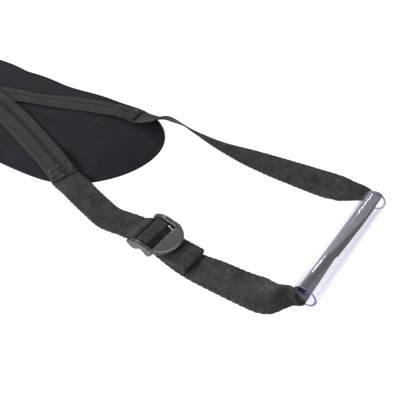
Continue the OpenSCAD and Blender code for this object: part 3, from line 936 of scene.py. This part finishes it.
def near_run():
    route = [
        buckle_point(13.4, 10.4) + [0, 0],
        buckle_point(19, 9) + [0, 0],
        buckle_point(28, 5) + [0, 0],
        buckle_point(42, 1.9) + [0, 0],
        [bar_x + 60, bar_y - 7.5, 1.2, 0, 0],
        [bar_x + 78, bar_y - 9, 1.6, 2, 0],
        [bar_x + 100, bar_y - 9.5, 4.6, 10, 0, 0],
        [bar_x + 140, bar_y - 9, 7.2, 18, 2, 2],
        [grip_x - 47.8, bar_y - 9.2, 11, 36, 28, 8],
        [grip_x - 35.5, bar_y - 4.2, 13.3, 60, 79, 18],
        [grip_x - 27.7, bar_y + 8.4, 13.5, 80, 152, 50],
        in_tube(-mouth - outside - gap, near_turn)]
    return stations(smooth(with_heading(route)))


def grip_run():
    reach = mouth + outside
    rows = [in_tube(reach * k / 16, roll_turn(k / 16)) for k in range(-16, 17)]
    return stations(np.array(rows))


def wrap_run():
    """Once round the middle bar, from its underside, over the top and down the grip side."""
    r = mid_r + 0.2 + webbing_t / 2
    run = [buckle_station(mid_bar[0] + 2.6, mid_z - r, 180)]
    for k in range(13):
        a = math.radians(180 + 15 * k)
        run.append(buckle_station(mid_bar[0] + r * math.sin(a), mid_z + r * math.cos(a), 180 + 15 * k))
    for k in range(7):
        a = math.radians(15 * k)
        run.append(buckle_station(mid_bar[1] + r * math.sin(a), mid_z + r * math.cos(a), 15 * k))
    return np.array(run)


tail_len = 70
hem_len = 27
hem_r = 2.5
tail_top = 7
tail_lift = 2.2


def tail_run():
    start = mid_bar[1] + mid_r + 0.2 + webbing_t / 2
    fold = tail_top + tail_lift
    rows = [(start, mid_z - 0.1, 90), (start + 0.7, mid_z - 2, 62), (start + 3.2, mid_z - 4, 34),
            (start + 9, tail_top + 0.9, 8), (start + 18, tail_top, 0), (tail_len - 18, tail_top + 0.3, -3),
            (tail_len - 8, tail_top + tail_lift * 0.7, -9), (tail_len, fold, -3)]
    for k in range(1, 9):
        a = math.radians(20 * k)
        rows.append((tail_len + 2 + hem_r * math.sin(a), fold - hem_r + hem_r * math.cos(a), 20 * k))
    rows += [(tail_len, fold - 2 * hem_r, 178), (tail_len - 9, tail_top - 2.2, 172),
             (tail_len - 18, tail_top - 1.8, 178), (tail_len + 2 - hem_len, tail_top - 2.1, 180)]
    return np.array([buckle_station(*row) for row in rows])


def share_at_x(run, x):
    """The share of a run's length where it first passes x."""
    dense, at = even(run, 0.9)
    return at[int(np.argmax(dense[:, 0] >= x))] / at[-1]


def webbing_piece(name, run, side, part=(0, 1), **more):
    piece = strap(name, run, more.pop("material", WEBBING), side, part=part, ripple=0.2, **more)
    return piece


def near_arm(side_name, side):
    run = buckle_strap_run()
    piece = webbing_piece(f"buckle_webbing_{side_name}", run, side,
                          edges=lambda station: (3.0 * (1 - ramp(station[0], lap_x - 8, lap_x + 10)), 0))
    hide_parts(f"buckle_strap_{side_name}")
    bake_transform(piece)
    sewn = stitches(f"bar_stitches_{side_name}", [
        sewn_on(run, webbing_w, ((l, -webbing_w / 2 + 4), (l, webbing_w / 2 - 4))) for l in (136, 141)],
        DARK_THREAD, side, pitch=2.4, length=1.9, radius=0.28)
    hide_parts(f"strap_stitching_{side_name}")
    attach(sewn, f"loop_{side_name}")


def far_arm(side_name, side):
    run = far_run()
    cut = share_at_x(run, hinge_x + 60)
    first = webbing_piece(f"far_webbing_pad_end_{side_name}", run, side, (0, cut),
                          edges=lambda station: (3.5 * (1 - ramp(station[0], lap_x - 2, lap_x + 13)), 0))
    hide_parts(f"far_webbing_{side_name}")
    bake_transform(first)
    second = webbing_piece(f"far_webbing_grip_end_{side_name}", run, side, (cut, 1))
    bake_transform(second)


def load_arm(side_name, side):
    run = near_run()
    cut = share_at_x(run, bar_x + 48)
    first = webbing_piece(f"load_webbing_buckle_end_{side_name}", run, side, (0, cut),
                          edges=lambda station: (0, 2 * (1 - ramp(station[0], bar_x + 22, bar_x + 40))))
    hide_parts(f"near_webbing_{side_name}")
    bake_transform(first)
    second = webbing_piece(f"load_webbing_grip_end_{side_name}", run, side, (cut, 1))
    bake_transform(second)


def rolled_edges(station):
    """The rolled webbing's upper edge steps back towards the near mouth."""
    d = station[1] - grip_y
    return 0, -2.2 * (1 - ramp(d, -30, -24)) - 1.6 * (1 - ramp(d, -50, -42))


def grip(side_name, side):
    inner = webbing_piece(f"rolled_webbing_{side_name}", grip_run(), side, columns=20, material=WEBBING_PAINTED_LIGHT_AND_SHADE,
                          scallop=0.2, edges=rolled_edges)
    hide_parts(f"grip_webbing_{side_name}")
    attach(inner, f"grip_webbing_{side_name}")
    # the tube's wall as one closed ring: out along the outside, back along the bore, with eased rims
    ease = 0.5
    profile = [(-mouth + ease, tube_r), (-mouth / 2, tube_r), (0, tube_r), (mouth / 2, tube_r),
               (mouth - ease, tube_r), (mouth - ease * 0.3, tube_r - ease * 0.3), (mouth, tube_r - ease),
               (mouth, tube_r - tube_wall + ease), (mouth - ease * 0.3, tube_r - tube_wall + ease * 0.3),
               (mouth - ease, tube_r - tube_wall), (0, tube_r - tube_wall),
               (-mouth + ease, tube_r - tube_wall),
               (-mouth + ease * 0.3, tube_r - tube_wall + ease * 0.3), (-mouth, tube_r - tube_wall + ease),
               (-mouth, tube_r - ease), (-mouth + ease * 0.3, tube_r - ease * 0.3)]
    count = 96
    outward = np.array([grip_dir[1], -grip_dir[0], 0])
    points = []
    for d, r in profile:
        for i in range(count):
            a = 2 * math.pi * i / count
            points.append(np.array([grip_x, grip_y, grip_z]) + grip_dir * d
                          + r * (math.cos(a) * outward + math.sin(a) * np.array([0, 0, 1])))
    faces = ring_faces(len(profile), count)
    last = (len(profile) - 1) * count
    for i in range(count):
        j = (i + 1) % count
        faces.append((last + i, last + j, j, i))
    tube = make(f"clear_grip_{side_name}", points, faces, TUBE, side)
    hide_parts(f"grip_tube_{side_name}")
    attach(tube, f"grip_tube_{side_name}")


def buckle(side_name, side):
    body = frame["nodes"][f"buckle_{side_name}"]
    for slot in body.material_slots:
        slot.material = PLASTIC
    soft = body.modifiers.new("soft_edges", "REMESH")
    soft.mode = "VOXEL"
    soft.voxel_size = 0.0004
    soft.use_smooth_shade = True
    ease = body.modifiers.new("ease", "SMOOTH")
    ease.factor = 0.5
    ease.iterations = 10
    wrap = webbing_piece(f"bar_webbing_{side_name}", wrap_run(), side, step=0.5, width=webbing_w + 2.4)
    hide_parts(f"webbing_wrap_{side_name}")
    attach(wrap, f"buckle_{side_name}")


def tail(side_name, side):
    run = tail_run()
    piece = webbing_piece(f"tail_webbing_{side_name}", run, side, step=0.5)
    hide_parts(f"tail_{side_name}")
    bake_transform(piece)
    sewn = stitches(f"hem_stitches_{side_name}", [
        sewn_on(run, webbing_w, ((l, -webbing_w / 2 + 3), (l, webbing_w / 2 - 3))) for l in (28, 31)],
        DARK_THREAD, side, pitch=2.4, length=1.9, radius=0.28)
    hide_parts(f"tail_stitching_{side_name}")
    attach(sewn, f"tail_{side_name}")


def lap_stitches(side_name, side):
    lines = []
    for near_end in (True, False):
        over = 1 if near_end == (side > 0) else 0
        run = band_run(over, near_end)
        _, at = even(run, 0.5)
        end = at[-1]
        lines += sewn_box(run, elastic_w, end - lap_len + 3, end - 3, elastic_w / 2 - 4)
    sewn = stitches(f"lap_stitches_{side_name}", lines, SHADE_AND_GLINT_THREAD, side, pitch=2.4, length=1.9, radius=0.28)
    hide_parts(f"lap_stitching_{side_name}")
    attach(sewn, f"lap_{side_name}")


# ---- stage ---------------------------------------------------------------------------------------
def area_light(name, place, target, size, power, colour=(1, 1, 1)):
    data = bpy.data.lights.new(name, "AREA")
    data.shape = "RECTANGLE"
    data.size, data.size_y = size
    data.energy = power
    data.color = colour
    light = bpy.data.objects.new(name, data)
    bpy.context.scene.collection.objects.link(light)
    light.location = place
    light.rotation_euler = (Vector(target) - Vector(place)).to_track_quat("-Z", "Y").to_euler()
    return light


def studio():
    floor_mesh = bpy.data.meshes.new("floor")
    reach = 6.0
    corners = [(-reach, -reach, 0), (reach, -reach, 0), (reach, reach, 0), (-reach, reach, 0)]
    floor_mesh.from_pydata(corners, [], [(0, 1, 2, 3)])
    floor = bpy.data.objects.new("floor", floor_mesh)
    floor.location.z = -0.0004
    pale = bpy.data.materials.new("pale_floor")
    pale.use_nodes = True
    surface = pale.node_tree.nodes["Principled BSDF"]
    surface.inputs["Base Color"].default_value = (0.3, 0.3, 0.3, 1)
    surface.inputs["Roughness"].default_value = 0.9
    surface.inputs["Specular IOR Level"].default_value = 0.0
    surface.inputs["Emission Color"].default_value = (1, 1, 1, 1)
    surface.inputs["Emission Strength"].default_value = 0.86
    floor_mesh.materials.append(pale)
    bpy.context.scene.collection.objects.link(floor)
    world = bpy.data.worlds.new("studio")
    world.use_nodes = True
    world.node_tree.nodes["Background"].inputs["Color"].default_value = (1, 1, 1, 1)
    world.node_tree.nodes["Background"].inputs["Strength"].default_value = 0.86
    bpy.context.scene.world = world
    area_light("key", (-0.9, -0.5, 1.9), (0.3, 0, 0), (1.2, 1.2), 5)
    area_light("front_low", (-0.05, -1.1, 0.55), (0.43, -0.08, 0), (0.7, 0.3), 24)
    strip = area_light("strip", (-0.64, 1.12, 0.93), (0.58, 0, 0), (0.4, 0.28), 12)
    glint = area_light("glint", (-0.02, -1.0, 0.36), (0.43, -0.08, 0), (0.7, 0.6), 14)
    for light in (strip, glint):
        light.visible_diffuse = False
    bpy.context.scene.view_settings.view_transform = "Standard"


def camera():
    azimuth, elevation, distance = math.radians(31.78), math.radians(46.19), 0.5642
    target = Vector((tip_x * MM + 0.0949, -0.0056, 0))
    back = Vector((math.sin(azimuth) * math.cos(elevation), -math.cos(azimuth) * math.cos(elevation),
                   math.sin(elevation)))
    data = bpy.data.cameras.new("camera")
    data.sensor_width = 36
    data.lens = 40.5
    data.clip_start = 0.01
    eye = bpy.data.objects.new("camera", data)
    eye.location = target + back * distance
    eye.rotation_euler = (-back).to_track_quat("-Z", "Y").to_euler()
    bpy.context.scene.collection.objects.link(eye)
    bpy.context.scene.camera = eye


pad_cover()
pad_back()
pad_foam()
rim_stitches()
bands()
centre_stitches()
for which, way in SIDES.items():
    lap_stitches(which, way)
    near_arm(which, way)
    far_arm(which, way)
    load_arm(which, way)
    grip(which, way)
    buckle(which, way)
    tail(which, way)
studio()
camera()
